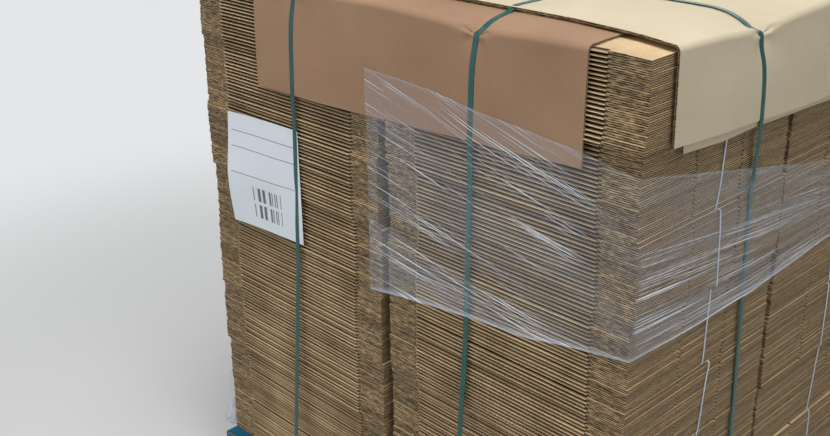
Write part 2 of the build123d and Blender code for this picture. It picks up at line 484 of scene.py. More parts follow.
carton = {
    "length": 0.305,
    "width": 0.160,
    "height": 0.425,
    "ply": 0.0037,
    "gap": 0.0003,
    "slot": 0.007,
    "setBack": 0.003,  # the flaps are cut this much narrower than the body
    # how a pressed fold thins: distances from its tip, and how far its underside rises
    "nose": ((0.06, 0), (0.03, 0), (0.010, 0), (0.0045, 0.0017), (0.0014, 0.0027), (0, 0.0033)),
    "score": 0.0060,  # the crushed line where a flap folds
    "innerEnd": 0.0136,  # deep in the gaps between the stacks, the back ones reach this much further
    "innerSide": 0.0035,  # and the left ones this much, so that no light shows through
    "bends": {"body": (8, 14), "flap": (0.075, 0.03)},  # how finely most cartons are cut, and the top ones
    "flapBends": (0.03, 0.025, 0.008),  # from the fold of a flap, and twice from its end, on the top ones
}


def cartonMesh(outEnd, outSide, swapped, fine):
    # outEnd and outSide say which end and long side are seen. swapped lays the other ply's slots near.
    # fine is for the top layer, which bends with the load's edges.
    parts = newParts()
    halfY, halfBody = (carton["length"] + carton["width"]) / 2, carton["height"] / 2
    ply, thick = carton["ply"], 2 * carton["ply"]
    nose = [(halfY - back, z) for back, z in carton["nose"]]
    nose += [(y, thick - z) for y, z in reversed(nose)]
    innerEnd = carton["innerEnd"] if outSide > 0 else 0.0
    blunt = halfY + (carton["innerSide"] if outEnd < 0 else 0.0)
    section = [(outSide * y, z) for y, z in nose] + [(-outSide * blunt, thick), (-outSide * blunt, 0)]
    cuts = [plain] * len(section)
    # the faces in the groove beside each fold get painted shade, the sides of the fold about half of it
    cuts[2:4], cuts[7:9] = (grooveShade, halfGrooveShade), (halfGrooveShade, grooveShade)
    lengths = steps(-halfBody, halfBody, carton["bends"]["body"][fine])
    grid = [[(x, y, z) for y, z in section] for x in lengths]
    addGrid(parts, grid, cut=cuts, closed=True, turned=outSide < 0)
    # the two ends of the body get about half the painted groove shade
    for ring, turned in ((grid[-1], outSide < 0), (grid[0], outSide > 0)):
        first = len(parts["points"])
        parts["points"].extend(ring)
        corners = list(range(first, first + len(section)))
        addFace(parts, corners[::-1] if turned else corners, halfGrooveShade)
    flapY, half, flapEnd = halfY - carton["setBack"], carton["slot"] / 2, halfBody + carton["width"] / 2
    slots = [carton["width"] - halfY, carton["length"] - halfY]
    lowSlot, highSlot = slots[::-1] if swapped else slots
    for end in (1, -1):
        seenEnd = end == outEnd
        places = [halfBody, halfBody + carton["score"], flapEnd]
        if fine and seenEnd:
            first, *others = carton["flapBends"]
            places[2:] = [halfBody + first, *(flapEnd - back for back in others), flapEnd]
        # the crushed score faces at the slots get painted shade, those of the upper ply about half of it
        for slot, zs, scored in ((lowSlot, (0, ply), grooveShade), (highSlot, (ply, thick), halfGrooveShade)):
            for y0, y1 in ((-flapY, slot - half), (slot + half, flapY)):
                deepest = not seenEnd and (y0 if outSide > 0 else y1) == -outSide * flapY
                xs = places[:-1] + [flapEnd + innerEnd] if deepest else places
                cutSides = [scored] + [sideCut] * (len(xs) - 2)
                if end < 0:
                    xs, cutSides = [-x for x in reversed(xs)], cutSides[::-1]
                count = max(1, round((y1 - y0) / carton["bends"]["flap"][fine])) if seenEnd else 1
                cuts = {"y1": cutSides, "y0": cutSides, "x1" if end > 0 else "x0": endCut}
                addBox(parts, xs, steps(y0, y1, count), zs, cuts)
    return meshFrom(parts, "carton")


bundle = {
    "pitch": 2 * carton["ply"] + carton["gap"],
    "slide": (0.0020, 0.0030),  # how far a carton may sit back from the outermost one, at ends and sides
    "topSlide": 0.6,  # the top ones less, by this share
    "lean": (-0.001, 0.003),  # how far the top of a bundle may stand back from its foot
    "high": 0.15,
    "wave": 0.0042,  # how far the folds wander along their length
    "full": 20,
    "lowest": 15,
    "stepped": "cartons_right_front_8",  # its lowest cartons stand out one under the other
    "steppedCount": 4,
    "step": (0, -0.0018, 0),
}


def bundleTree():
    # Cartons on a line, each slid and tinted a little, then waved together by a slow noise.
    given = newTree("tiedBundle", {
        "Carton": "Object", "Count": "Int", "Pitch": "Float", "Start": "Vector", "Slide": "Vector",
        "Lean": "Vector", "Wave": "Float", "Stepped": "Int", "Step": "Vector", "Seed": "Int",
        "Material": "Material"})

    def chance(stop, offset):
        inputs = {0: (0, 0, 0), 1: stop, "Seed": calc("ADD", given["Seed"], offset)}
        return result("FunctionNodeRandomValue", inputs, data_type="FLOAT_VECTOR")

    def vector(operation, first, second):
        inputs = {0: first, "Scale" if operation == "SCALE" else 1: second}
        return result("ShaderNodeVectorMath", inputs, operation=operation)

    rise = result("ShaderNodeCombineXYZ", {2: given["Pitch"]})
    line = result("GeometryNodeMeshLine",
                  {"Count": given["Count"], "Start Location": given["Start"], "Offset": rise}, mode="OFFSET")
    shape = result("GeometryNodeObjectInfo", {0: given["Carton"]}, "Geometry")
    placed = result("GeometryNodeInstanceOnPoints", {"Points": line, "Instance": shape})
    fromStart = vector("SUBTRACT", result("GeometryNodeInputPosition"), given["Start"])
    leaning = vector("SCALE", given["Lean"], splitVector(fromStart)[2])
    slid = vector("MULTIPLY", chance((1, 1, 0), 1), given["Slide"])
    above = calc("SUBTRACT", given["Stepped"], result("GeometryNodeInputIndex"))
    stepped = vector("SCALE", given["Step"], calc("MAXIMUM", above, 0.0))
    moved = result("GeometryNodeTranslateInstances",
                   {0: placed, "Translation": vector("ADD", vector("ADD", slid, leaning), stepped)})
    own = {0: moved, "Name": "each", "Value": chance((1, 1, 1), 2)}
    tinted = result("GeometryNodeStoreNamedAttribute", own, data_type="FLOAT_VECTOR", domain="INSTANCE")
    real = result("GeometryNodeRealizeInstances", {0: tinted})
    each = result("GeometryNodeInputNamedAttribute", {0: "each"}, data_type="FLOAT_VECTOR")
    where = vector("ADD", result("GeometryNodeInputPosition"), vector("SCALE", each, 0.25))
    drift = vector("SUBTRACT", cloud(where, 5.0, 1.5, 1), (0.5, 0.5, 0.5))
    wander = vector("SCALE", vector("MULTIPLY", drift, (1.0, 1.0, 0.3)), given["Wave"])
    bent = result("GeometryNodeSetPosition", {0: real, "Offset": wander})
    return endTree(bent, given["Material"])


def makeBundles():
    material, tree = cartonMaterial(), bundleTree()
    triangles, patterns = 0, {}

    def pattern(*kind):
        if kind not in patterns:
            patterns[kind] = bpy.data.objects.new("carton", cartonMesh(*kind))
        return patterns[kind]

    for number in range(len(columns) * len(rows) * layerCount):
        stack, layer = divmod(number, layerCount)
        column, row = divmod(stack, len(rows))
        node = f"cartons_{columns[column]}_{rows[row]}_{layer + 1}"
        middle, top = (low(node) + high(node)) / 2, layer == layerCount - 1
        outward, share = (2 * column - 1, 2 * row - 1), bundle["topSlide"] if top else 1
        mesh = runTree(node + "_tied", tree, {
            "Carton": pattern(*outward, (layer + column + row) % 2 == 1, top),
            "Count": bundle["lowest"] if layer == 0 else bundle["full"],
            "Pitch": bundle["pitch"],
            "Start": (middle.x, middle.y, low(node).z),
            "Slide": [-side * slide * share for side, slide in zip(outward, bundle["slide"])] + [0],
            "Lean": [-side * random.uniform(*bundle["lean"]) / bundle["high"] for side in outward] + [0],
            "Wave": bundle["wave"],
            "Stepped": bundle["steppedCount"] if node == bundle["stepped"] else 0,
            "Step": bundle["step"],
            "Seed": 10 * number,
            "Material": material,
        })
        if top:
            settleMesh(mesh, give["underSheets"])
        triangles += len(mesh.loops) - 2 * len(mesh.polygons)
        addPiece(node + "_tied", mesh, material, "carton_board", node)
    for each in patterns.values():
        bpy.data.objects.remove(each)
    print("carton bundles made,", triangles, "triangles")


makeBundles()


def measured(points):  # how far along a path each of its points is
    total, lengths = 0.0, []
    for first, second in zip(points, points[1:] + points[:1]):
        lengths.append(total)
        total += (Vector(second) - Vector(first)).length
    return lengths


def sheetMaterial(name, colour, dark):
    material = newMaterial(name)
    coords = coordinates()
    mottled = spread(cloud(coords, 5, 4), 0.3, 0.75)
    fibre = cloud(coords, 330, 4)
    shown = shade(mixColour(mottled, colour, dark), spread(fibre, 0.3, 0.7, 0.93, 1.05))
    ribs = calc("MULTIPLY", cloud(coords, 20, 1), 3.0)
    bumps = relief(calc("ADD", fibre, ribs), 0.25, 0.0006)
    return finished(material, cutEdges(shown, 1.0), 0.8, 0.3, Normal=bumps)


sheets = {
    "edge_cover_sheet": {
        "name": "bentEdgeSheet", "slot": "edge_sheet", "axis": 1, "side": -1,
        "colour": rgb(160, 128, 101), "dark": rgb(143, 112, 87),
        "sides": ((0.0, 0.111, 0.979), (0.3, 0.111, 0.979)),  # inward place, both cut ends
        # the place along the load, and how far below its top the lower edge hangs
        "lower": ((0.099, 0.198), (0.207, 0.205), (0.408, 0.212), (0.580, 0.219), (0.781, 0.227),
                  (0.979, 0.229)),
    },
    "under_cover_sheet": {
        "name": "underSheet", "slot": "top_sheet", "axis": 0, "side": 1,
        "colour": rgb(194, 180, 152), "dark": rgb(180, 165, 136),
        "sides": ((0.0, 0.095, 0.845), (1.2, 0.095, 0.845)),
        "lower": ((0.095, 0.171), (0.210, 0.179), (0.325, 0.178), (0.613, 0.188), (0.85, 0.188)),
    },
    "top_cover_sheet": {
        "name": "topSheet", "slot": "top_sheet", "axis": 0, "side": 1,
        "colour": rgb(200, 187, 161), "dark": rgb(186, 172, 144),
        "sides": ((0.0, 0.060, 0.865), (0.12, 0.075, 0.865), (0.25, 0.092, 0.865), (1.2, 0.090, 0.865)),
        "lower": ((0.057, 0.153), (0.201, 0.162), (0.323, 0.167), (0.481, 0.175), (0.87, 0.175)),
    },
}
sheetForm = {
    "thick": 0.004,
    "bend": 0.012,
    "bendStep": 9,  # degrees
    "crease": 0.0028,  # how high the creases stand beside a strap
    "creaseFrom": 0.007,
    "creaseFull": 0.006,
    "creaseReach": 0.034,
    "creaseRays": 8,
    "wobble": 0.0012,  # how far the flap stands off, away from its straps
    "wobbleFrom": 0.12,
    "rows": 70,
    "closeRows": (14, 250),  # rows on each side of a strap, and how many fit in a metre
    "topShares": (0, 0.12, 0.24, 0.36, 0.48, 0.6, 0.7, 0.79, 0.86, 0.91, 0.94, 0.965, 0.985),
    "flapShares": (0.03, 0.07, 0.12, 0.2, 0.3, 0.42, 0.55, 0.68, 0.8, 0.9, 1.0),
    "sharp": math.radians(50),
}


def bentSheet(node, sheet):
    # A board bent over a top edge of the load. Rows run along the fold, columns down to the lower edge.
    axis, side, form = sheet["axis"], sheet["side"], sheetForm
    straps, lengthwise = (strapPlaces["across"], fromEnd) if axis == 1 else (strapPlaces["along"], fromSide)
    reach, edge = sorted(side * corner[axis] for corner in (low(node), high(node)))
    top, bend = high(node).z, form["bend"]
    bendTop = top - bend

    # outward place, height, how the outside faces, and the share of the flap
    profile = [(reach + (edge - bend - reach) * share, top, 0.0, 1.0, None) for share in form["topShares"]]
    for degrees in range(0, 91, form["bendStep"]):
        outward, upward = math.sin(math.radians(degrees)), math.cos(math.radians(degrees))
        profile.append((edge - bend + bend * outward, bendTop + bend * upward, outward, upward, None))
    profile += [(edge, 0.0, 1.0, 0.0, share) for share in form["flapShares"]]

    firstEnd, lastEnd = sheet["sides"][0][1:]
    span, (closeRows, perMetre) = lastEnd - firstEnd, form["closeRows"]
    shares = set(steps(0, 1, form["rows"]))
    for place in straps:
        middle = (place - firstEnd) / span
        shares |= {middle + offset / perMetre / span for offset in range(-closeRows, closeRows + 1)}
    shares = sorted(share for share in shares if 0 <= share <= 1)

    def surface(share, point, depth):
        out, height, faceOut, faceUp, flapShare = point
        first, last = (between(sheet["sides"], max(0.0, edge - out), column) for column in (1, 2))
        along = first + (last - first) * share
        push = 0.0
        if flapShare is not None:
            height = bendTop - flapShare * (bendTop - (loadTop - between(sheet["lower"], along)))
            free = min([1.0] + [abs(along - place) / form["wobbleFrom"] for place in straps])
            push += form["wobble"] * free * flapShare * (1 + noise.noise((along * 7, flapShare, edge * 9)))
        for place in straps:
            sideways, down = along - place, out - edge + top - height
            start = 4 * place + (1.2 if sideways > 0 else 0.0)
            fan = math.cos(form["creaseRays"] * math.atan2(down, abs(sideways)) + start)
            grown = min(1.0, max(0.0, abs(sideways) - form["creaseFrom"]) / form["creaseFull"])
            faded = math.exp(-(math.hypot(sideways, down) / form["creaseReach"]) ** 2)
            push += form["crease"] * fan * grown * faded
        spot = [0.0, 0.0, height + (push - depth) * faceUp]
        spot[axis] = side * (out + (push - depth) * faceOut)
        spot[1 - axis] = lengthwise(along)
        return tuple(spot)

    parts, flip = newParts(), side > 0
    outer, inner = ([[surface(share, point, depth) for point in profile] for share in shares]
                    for depth in (0.0, form["thick"]))
    addGrid(parts, outer, turned=not flip)
    addGrid(parts, inner, turned=flip)
    lengthCut, crossCut = (endCut, sideCut) if axis == 0 else (sideCut, endCut)
    for column, turned in ((-1, False), (0, True)):  # the lower edge and the edge on the load
        strip = [[row[column] for row in face] for face in (outer, inner)]
        addGrid(parts, strip, edgeFlat([share * span for share in shares]), lengthCut, turned=turned != flip)
    for row, turned in ((0, False), (-1, True)):  # the two ends
        strip = [outer[row], inner[row]]
        addGrid(parts, strip, edgeFlat(measured(strip[0])), crossCut, turned=turned == flip)
    mesh = meshFrom(parts, sheet["name"], smooth=True)
    settleMesh(mesh)
    return mesh


def makeSheets():
    for node, sheet in sheets.items():
        mesh = bentSheet(node, sheet)
        mesh.set_sharp_from_angle(angle=sheetForm["sharp"])
        material = sheetMaterial(sheet["name"] + "Board", sheet["colour"], sheet["dark"])
        addPiece(sheet["name"], mesh, material, sheet["slot"], node)
    print("cover sheets bent")


makeSheets()


def bandTree():
    # A band along a path: each path point gives the side that the band's width lies along.
    given = newTree("bandOnPath", {"Path": "Object", "Section": "Object", "Material": "Material"})

    def curveOf(name):
        shape = result("GeometryNodeObjectInfo", {0: given[name]}, "Geometry")
        return result("GeometryNodeMeshToCurve", {0: shape})

    side = result("GeometryNodeInputNamedAttribute", {0: "side"}, data_type="FLOAT_VECTOR")
    aimed = result("GeometryNodeSetCurveNormal", {"Curve": curveOf("Path"), "Normal": side}, mode="FREE")
    swept = result("GeometryNodeCurveToMesh", {0: aimed, "Profile Curve": curveOf("Section")})
    return endTree(swept, given["Material"])


def loopObject(name, loops, values, side=None):
    # Closed loops of points as one object of edges, with named values for its points.
    mesh, points, edges = bpy.data.meshes.new(name), [], []
    for loop in loops:
        first = len(points)
        points.extend(tuple(point) for point in loop)
        edges.extend((first + step, first + (step + 1) % len(loop)) for step in range(len(loop)))
    mesh.from_pydata(points, edges, [])
    if side:
        mesh.attributes.new("side", "FLOAT_VECTOR", "POINT").data.foreach_set("vector", side * len(points))
    for key, numbers in values.items():
        storeValues(mesh, key, numbers)
    return bpy.data.objects.new(name, mesh)


def bandAlong(name, tree, loops, side, section, material):
    lengths = [length for loop in loops for length in measured(loop)]
    rail = loopObject(name + "Path", loops, {"along": lengths}, side)
    mesh = runTree(name, tree, {"Path": rail, "Section": section, "Material": material})
    bpy.data.objects.remove(rail)
    return mesh


def rounded(corners, radii, step):
    # A closed path with its corners rounded, as points about step apart.
    smooth, count = [], len(corners)
    for index in range(count):
        before, here, after = (Vector(corners[(index + offset) % count]) for offset in (-1, 0, 1))
        back, ahead = (before - here), (after - here)
        angle = back.angle(ahead)
        cut = min(radii[index] / math.tan(angle / 2), 0.45 * back.length, 0.45 * ahead.length)
        first, last = here + back.normalized() * cut, here + ahead.normalized() * cut
        for t in steps(0, 1, 8 if math.pi - angle > 0.3 else 4):
            smooth.append((1 - t) ** 2 * first + 2 * t * (1 - t) * here + t ** 2 * last)
    dense = []
    for first, second in zip(smooth, smooth[1:] + smooth[:1]):
        length = (second - first).length
        if length > 1e-6:
            pieces = max(1, round(length / step))
            dense.extend(first + (second - first) * part / pieces for part in range(pieces))
    return dense


strap = {
    "width": 0.012,
    "thick": 0.0008,
    "crown": 0.0001,
    "off": 0.0006,  # the middle of the strap above what it lies on
    "knurl": 0.0012,
    "colour": rgb(6, 78, 73),
    "worn": rgb(20, 100, 93),
    "step": 0.012,
    "climb": (0.412, 0.392, -0.372, -0.388),  # y of the corners where the straps across climb the top sheets
    "lines": {"strap_across_right": (0.352, 0.384), "strap_across_left": (0.852, 0.912),
              "strap_along": (0.318, 0.396)},  # where each lies at the top of the load and at its foot
}


def strapMaterial():
    material = newMaterial("embossedStrap")
    along, across = attribute("along"), attribute("across")
    ridges = [calc("PINGPONG", calc(operation, along, across), strap["knurl"])
              for operation in ("ADD", "SUBTRACT")]
    raised = spread(calc("MINIMUM", *ridges), 0.0, strap["knurl"] / 2)
    wear = spread(cloud(coordinates(), 60, 3), 0.45, 0.75, 0.0, 0.6)
    # the dips of the embossing are painted darker, as shade
    colour = shade(mixColour(wear, strap["colour"], strap["worn"]), spread(raised, 0.0, 1.0, 0.8, 1.05))
    return finished(material, colour, 0.38, Normal=relief(raised, 0.5, 0.0003))


def makeStraps(tree):
    material = strapMaterial()
    half, thick, crown, off = strap["width"] / 2, strap["thick"] / 2, strap["crown"], strap["off"]
    outline = [(-half, -thick, 0), (half, -thick, 0), (half, thick, 0), (half - 0.001, thick + crown, 0),
               (0, thick + 2 * crown, 0), (0.001 - half, thick + crown, 0), (-half, thick, 0)]
    section = loopObject("strapSection", [outline], {"across": [point[0] for point in outline]})

    def lay(name, corners, axis, foot=0.0):
        # corners are place along the strap's way, height and radius. Below foot it runs straight down.
        first, last = strap["lines"][name]
        points = []
        for place, height, _ in corners:
            share = min(1.0, (loadTop - min(height, loadTop)) / (loadTop - foot))
            other = first + (last - first) * share
            points.append((fromEnd(other), place, height) if axis == 1 else (place, fromSide(other), height))
        path = rounded(points, [corner[2] for corner in corners], strap["step"])
        side = (1.0, 0.0, 0.0) if axis == 1 else (0.0, 1.0, 0.0)
        loops = [[tuple(point) for point in settle(path)]]
        mesh = bandAlong(name + "_band", tree, loops, side, section, material)
        addPiece(name + "_band", mesh, material, "strap_plastic", name)

    cover, face = -low("edge_cover_sheet").y + off, -low("paper_label").y + off
    overCover, overSheet = high("edge_cover_sheet").z + off, high("top_cover_sheet").z + off
    overLoad, climb = loadTop + off, strap["climb"]
    deckEdge, underDeck = -low("strap_across_right").y - 0.0008, low("strap_across_right").z + 0.0004
    for name in ("strap_across_right", "strap_across_left"):
        under = loadTop - between(sheets["edge_cover_sheet"]["lower"], strap["lines"][name][0]) - 0.006
        lay(name, [
            (-cover, overCover, 0.012), (-cover, under, 0.02), (-face, under - 0.05, 0.05),
            (-face, loadTop - 0.62, 0.4), (-deckEdge, deckTop, 0.006), (-deckEdge, underDeck, 0.003),
            (deckEdge, underDeck, 0.003), (deckEdge, deckTop, 0.006), (face, loadTop - 0.9, 0.4),
            (face, overLoad, 0.006), (climb[0], overLoad, 0.03), (climb[1], overSheet, 0.03),
            (climb[2], overSheet, 0.03), (climb[3], overCover, 0.03),
        ], 1)
    end, foot = high("top_cover_sheet").x + off, low("strap_along").z + 0.0004
    free, sheetEnd = high("twine_right_front").x + off, low("top_cover_sheet").x
    overStraps = overSheet + 2 * strap["thick"]
    lay("strap_along", [
        (end, overStraps, 0.012), (end, loadTop - 0.182, 0.02), (free, loadTop - 0.30, 0.2),
        (free, foot, 0.004), (-free, foot, 0.004), (-free, overLoad, 0.006),
        (sheetEnd - 0.05, overLoad, 0.03), (sheetEnd - 0.012, overStraps, 0.03),
    ], 0, foot=0.1)
    bpy.data.objects.remove(section)
    print("straps laid")


twine = {
    "width": 0.0036,
    "thick": 0.0016,
    "fromMiddle": 0.0025,
    "places": (8, 14, 8, 16, 10, 15, 7, 0),  # in mm from the middle of the column, lowest bundle first
    "slant": 0.008,
    "slantOver": 0.09,
    "sway": 0.0012,
    "twist": 0.0016,
    "colour": rgb(205, 217, 232),
    "sides": 10,
    "strand": 0.0007,
    "radius": 0.005,
    "step": 0.02,
    "off": (0.0004, 0.0003),  # how far it stays off the ends of a bundle, and off its top and bottom
}


def twineMaterial():
    material = newMaterial("whiteTwine")
    slanted = calc("MULTIPLY", attribute("across"), 1.6)
    twist = calc("PINGPONG", calc("ADD", attribute("along"), slanted), twine["twist"])
    # darker between the strands: painted shade
    strand = spread(twist, 0.0, 0.75 * twine["twist"], 0.62, 1.05)
    return finished(material, shade(twine["colour"], strand), 0.55, Normal=relief(strand, 0.6, 0.0006))


def twineLoop(cartons, y):
    lowest, highest = low(cartons), high(cartons)
    out, up = twine["thick"] / 2 + twine["off"][0], twine["off"][1]
    x0, x1, z0, z1 = lowest.x - out, highest.x + out, lowest.z - up, highest.z + up
    tilt, sway = random.uniform(-1, 1) * twine["slant"], random.random() * 9
    corners = [(x0, y, z0), (x1, y, z0), (x1, y, z1), (x0, y, z1)]
    loop = rounded(corners, [twine["radius"]] * 4, twine["step"])
    for spot in loop:
        rise = (spot.z - (z0 + z1) / 2) / twine["slantOver"]
        spot.y += tilt * (rise + rise ** 3) + twine["sway"] * noise.noise((spot.x * 3, sway, spot.z * 16))
    return loop


def makeTwine(tree):
    material, turns = twineMaterial(), steps(0, 2 * math.pi, twine["sides"])[:-1]
    half, thick = twine["width"] / 2, twine["thick"] / 2
    outline = [(half * math.cos(turn), thick * math.sin(turn), 0) for turn in turns]
    strands = [twine["strand"] * turn for turn in range(len(turns))]
    section = loopObject("twineSection", [outline], {"across": strands})
    for columnName in columns:
        for rowName in rows:
            stack = f"{columnName}_{rowName}"
            middle = nearY / 2 - twine["fromMiddle"]
            middle = middle if rowName == "front" else -middle
            loops = [twineLoop(f"cartons_{stack}_{layer + 1}", middle + place / 1000)
                     for layer, place in enumerate(twine["places"])]
            loops[-1] = [Vector(point) for point in settle(loops[-1])]
            name = f"twine_{stack}_cord"
            mesh = bandAlong(name, tree, loops, (0.0, 1.0, 0.0), section, material)
            mesh.polygons.foreach_set("use_smooth", [True] * len(mesh.polygons))
            addPiece(name, mesh, material, "twine", f"twine_{stack}")
    bpy.data.objects.remove(section)
    print("twine tied")


bands = bandTree()
makeStraps(bands)
makeTwine(bands)


film = {
    "flat": (0.45, 1.70),  # off the roll, before it is stretched to a bit over twice its length
    "stretch": 2.18,
    "pleat": 0.0010,
    "inset": (0.0004, 0.0002),  # how far inside its CAD box the film runs
    # the drawn-in edges: radius of the roll, how much denser they are, and over how many rows
    "lowEdge": (0.0007, 0.8, 2.4),
    "highEdge": (0.00028, 0.3, 1.6),
    "loose": 0.005,  # how far the free end stands off
    "looseReach": 0.05,
    "endWave": 0.014,
    "edgeWave": 0.0022,
    "drift": 0.25,  # the pull lines fall towards the near corner by this much a metre
    "step": 0.010,
    "rows": 96,
    "corner": 0.008,
    "cornerSteps": 8,
    # places along each side from its first corner, then the upper and lower edge under the top of the load
    "front": ((0.0, 0.187, 0.507), (0.1, 0.172, 0.524), (0.2, 0.162, 0.543), (0.35, 0.149, 0.557),
              (0.45, 0.134, 0.568), (0.625, 0.125, 0.590)),
    "nearEnd": ((0.0, 0.187, 0.507), (0.16, 0.220, 0.513), (0.365, 0.264, 0.514), (0.65, 0.322, 0.495),
                (0.94, 0.380, 0.470)),
    "back": ((0.0, 0.380, 0.470), (1.2, 0.800, 0.930)),
    "farEnd": ((0.0, 0.800, 0.930), (0.94, 1.040, 1.190)),
    # how strongly the pull lines show: by the distance past the near corner, and past it from the foot up
    "pullAlong": ((-0.62, 0.5), (-0.25, 0.75), (-0.12, 0.65), (-0.05, 0.0), (0.013, 0.0), (0.022, 1.0),
                  (0.9, 0.9), (1.0, 0.4)),
    "pullUp": ((0.0, 1.0), (0.55, 0.9), (0.75, 0.3), (1.0, 0.3)),
    "newLines": ((-0.06, 0.0), (0.012, 0.06)),  # past the corner the pattern goes on this much further up
    "tint": rgb(205, 219, 236),
    "glint": rgb(246, 246, 244),
    "clearest": 0.05,  # cover where the film is clearest, and where it is densest
    "densest": 0.92,
}
bunch = {
    "size": (0.050, 0.072, 0.120),
    "middle": (-nearX - 0.021, nearY + 0.024, deckTop + 0.052),
    "girth": ((0, 0.45), (0.06, 0.8), (0.2, 1.05), (0.38, 0.9), (0.52, 0.5), (0.7, 0.26), (1, 0.16)),
    "turns": 84,
    "rises": 56,
    "body": 0.74,  # the girth is made of this, and of folds and crumples
    "fold": 0.24,
    "crumple": 0.16,
    "lean": (0.5, 0.35),  # how much it leans, and from which share of its height
    "rim": (0.12, 0.7, 45),  # how dense it is at least, how much more in patches, and how fine those are
    "unrolled": (0.13, 0.10),  # the flat length that its height and its girth take up
}


def filmMaterial():
    material = newMaterial("clearStretchFilm")
    coords, pull = coordinates("UV"), attribute("pull")

    def pulled(slack, tight):
        return spread(pull, 0.0, 1.0, slack, tight)

    fine, lines = (cloud(coords, (along, 330, 1), 0.6) for along in (7.0, 8.0))
    groups = spread(cloud(coords, (4.5, 17, 1)), pulled(0.62, 0.32), pulled(0.80, 0.54))
    haze = spread(cloud(coords, (3.0, 7, 1)), 0.35, 0.7, film["clearest"], 0.17)
    streaks = calc("MULTIPLY", spread(fine, 0.54, 0.66), groups)
    bright = calc("MULTIPLY", spread(lines, pulled(0.63, 0.57), 0.70), groups)
    cover = calc("ADD", haze, *(calc("MULTIPLY", each, share) for each, share in (
        (streaks, 0.40), (bright, 0.9), (attribute("rim"), 0.5))))
    colour, cover = mixColour(bright, film["tint"], film["glint"]), calc("MINIMUM", cover, film["densest"])
    return finished(material, colour, 0.16, 0.9, Alpha=cover, Normal=relief(lines, 0.5, 0.0012))


def filmRoute():
    # Points (x, y, how the outside faces, upper, lower) from the loose end round to where the wrap starts.
    x, y = high("stretch_film").x - film["inset"][0], -low("stretch_film").y - film["inset"][1]
    corner, count = film["corner"], film["cornerSteps"]
    route = []

    def aimed(angle):
        return Vector((math.cos(angle), math.sin(angle)))

    for number, (name, first, second) in enumerate((
            ("front", (nearX - film["front"][-1][0], -y), (x - corner, -y)),
            ("nearEnd", (x, corner - y), (x, y - corner)),
            ("back", (x - corner, y), (corner - x, y)),
            ("farEnd", (-x, y - corner), (-x, corner - y)))):
        facing, first, second = math.pi / 2 * (number - 1), Vector(first), Vector(second)
        table = film[name]
        for step in range(1, count if number else 0):  # round the corner before it
            angle = facing - math.pi / 2 * (1 - step / count)
            route.append((*(first + corner * (aimed(angle) - aimed(facing))), angle, *table[0][1:]))
        pieces = round((second - first).length / film["step"])
        for share in steps(0, 1, pieces):
            place = table[-1][0] * (share if number else 1 - share)
            heights = between(table, place), between(table, place, 2)
            route.append((*first.lerp(second, share), facing, *heights))
    return route


def bunchMesh():
    # The start of the wrap is gathered into a loose tail at the foot of the far end: a bulb with a neck.
    size, middle, turns = Vector(bunch["size"]), Vector(bunch["middle"]), bunch["turns"]
    tall, around = bunch["unrolled"]

    def spot(t, turn):
        angle = 2 * math.pi * turn / turns
        across, deep = math.cos(angle), math.sin(angle)
        fold = 1 - 2 * abs(noise.noise((across * 2.1, deep * 2.1, t * 2.4)))
        crumple = noise.noise((across * 5, deep * 5, t * 11))
        girth = between(bunch["girth"], t)
        reach = girth * (bunch["body"] + bunch["fold"] * fold + bunch["crumple"] * crumple)
        lean = bunch["lean"][0] * size.x * max(0.0, t - bunch["lean"][1])
        rise = (t - 0.5) * size.z + 0.003 * noise.noise((across * 3, deep * 3, t * 6))
        return (middle.x + lean + across * reach * size.x / 2, middle.y + deep * reach * size.y / 2,
                middle.z + rise)

    shares, parts = steps(0, 1, bunch["rises"]), newParts()
    flat = [[(t * tall, around * turn / turns) for turn in range(turns + 1)] for t in shares]
    addGrid(parts, [[spot(t, turn) for turn in range(turns)] for t in shares], flat, closed=True)
    count = len(parts["points"])
    addFace(parts, list(range(turns))[::-1])
    addFace(parts, range(count - turns, count))
    mesh = meshFrom(parts, "filmBunch", smooth=True, merge=0)
    least, more, fine = bunch["rim"]
    storeValues(mesh, "rim", [least + more * max(0.0, noise.noise(vert.co * fine)) for vert in mesh.vertices])
    return mesh


